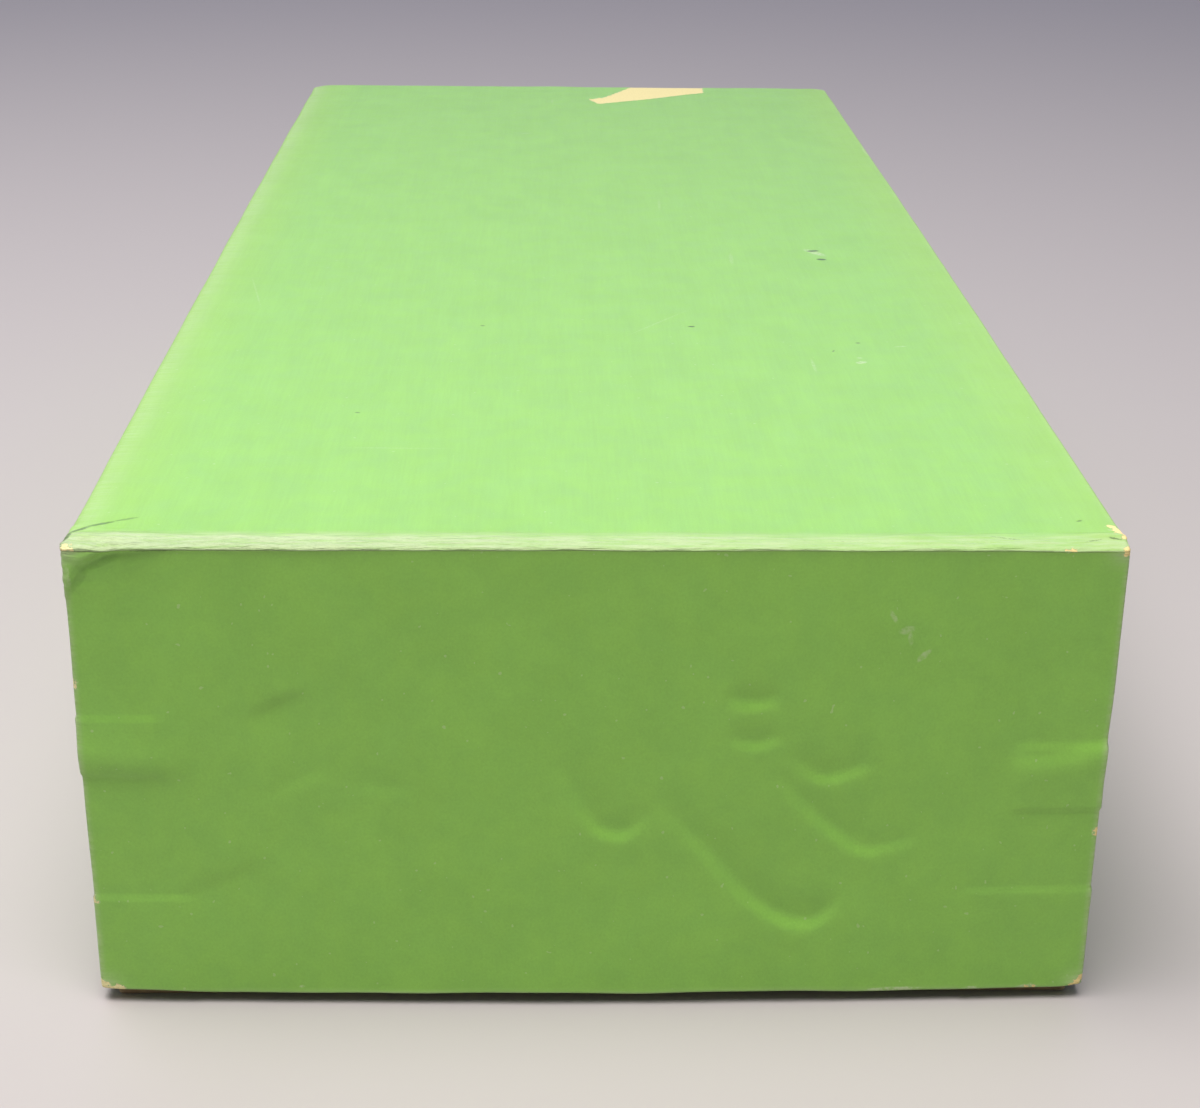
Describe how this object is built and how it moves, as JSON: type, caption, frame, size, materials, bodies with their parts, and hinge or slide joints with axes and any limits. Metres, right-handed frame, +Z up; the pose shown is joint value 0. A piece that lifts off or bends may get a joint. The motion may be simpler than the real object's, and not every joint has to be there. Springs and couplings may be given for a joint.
{
  "type": "archival box",
  "caption": "Long flat storage box of chipboard: an open tray covered in brown paper, under a full-depth lift-off lid covered in green paper.",
  "frame": {"origin": "centre of the underside of the tray, on the surface the box stands on", "axes": "+Z up, +Y along the length from the front end to the back end, +X to the right as seen from the front end"},
  "size_m": [0.306, 0.745, 0.154],
  "materials": {
    "board": "matt grey-yellow chipboard",
    "tape": "matt gummed kraft tape",
    "lid_cover": "semi-matt coated green paper",
    "tray_cover": "matt brown covering paper",
    "bottom_sheet": "matt plain paper",
    "lining": "matt white lining paper"
  },
  "bodies": {
    "tray": {"tray_front_board": "board", "tray_back_board": "board", "tray_left_board": "board", "tray_right_board": "board", "tray_front_left_upper_tape": "tape", "tray_front_left_lower_tape": "tape", "tray_front_right_upper_tape": "tape", "tray_front_right_lower_tape": "tape", "tray_back_left_upper_tape": "tape", "tray_back_left_lower_tape": "tape", "tray_back_right_upper_tape": "tape", "tray_back_right_lower_tape": "tape", "tray_cover_paper": "tray_cover", "tray_wall_lining": "lining", "tray_floor_board": "board", "tray_bottom_sheet": "bottom_sheet", "tray_floor_lining": "lining"},
    "lid": {"lid_front_board": "board", "lid_back_board": "board", "lid_left_board": "board", "lid_right_board": "board", "lid_front_left_upper_tape": "tape", "lid_front_left_lower_tape": "tape", "lid_front_right_upper_tape": "tape", "lid_front_right_lower_tape": "tape", "lid_back_left_upper_tape": "tape", "lid_back_left_lower_tape": "tape", "lid_back_right_upper_tape": "tape", "lid_back_right_lower_tape": "tape", "lid_cover_paper": "lid_cover", "lid_wall_lining": "lining", "lid_top_board": "board", "lid_top_lining": "lining"}
  },
  "joints": [
    {"name": "lid_lift", "type": "slide", "parent": "tray", "child": "lid", "axis": [0, 0, 1], "range_m": [0, 0.22]}
  ]
}
